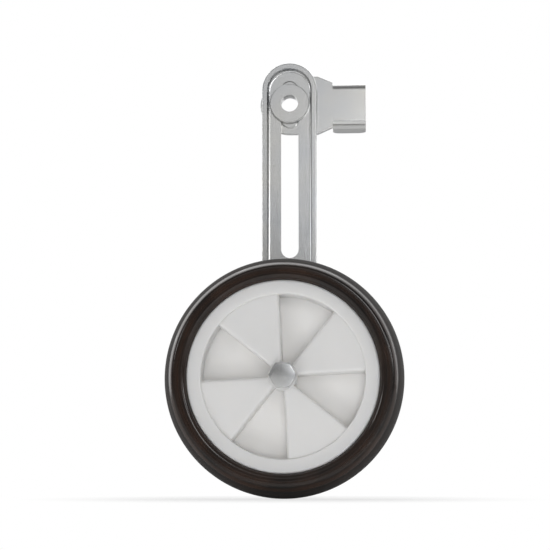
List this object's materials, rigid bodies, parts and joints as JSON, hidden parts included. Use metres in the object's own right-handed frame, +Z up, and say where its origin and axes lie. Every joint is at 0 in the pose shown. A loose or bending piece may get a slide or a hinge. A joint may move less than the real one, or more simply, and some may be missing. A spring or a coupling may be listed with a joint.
{
  "type": "bicycle training wheel",
  "caption": "Bicycle training wheel: white moulded hub with a corrugated web and a black tyre on a slotted, cranked steel arm, with bolt, lock nut, washers and a fork-ended locating plate.",
  "frame": {"origin": "on the axis of the bicycle's axle, in the plane where the locating plate meets the arm", "axes": "+X in the bicycle's direction of travel, +Y in towards the bicycle along its axle, +Z up along the arm's slot"},
  "size_m": [0.13, 0.1076, 0.2596],
  "materials": {
    "zinc_plated_steel": "bright zinc plate, satin",
    "drawn_steel": "plain drawn tube",
    "nylon": "natural nylon",
    "white_plastic": "white moulded plastic with a soft sheen",
    "tyre": "smooth and glossy"
  },
  "bodies": {
    "bracket": {"locating_plate": "zinc_plated_steel", "axle_washer": "zinc_plated_steel"},
    "arm": {"arm": "zinc_plated_steel", "axle_bolt": "zinc_plated_steel", "axle_sleeve": "drawn_steel", "hub_washer": "zinc_plated_steel", "nut_washer": "zinc_plated_steel", "lock_nut": "zinc_plated_steel", "lock_nut_insert": "nylon"},
    "wheel": {"wheel_hub": "white_plastic", "tyre": "tyre"}
  },
  "joints": [
    {"name": "height_slide", "type": "slide", "parent": "bracket", "child": "arm", "axis": [0, 0, 1], "range_m": [0, 0.08]},
    {"name": "wheel_spin", "type": "hinge", "parent": "arm", "child": "wheel", "pos_m": [0, -0.072, -0.1703], "axis": [0, 1, 0], "continuous": true}
  ]
}
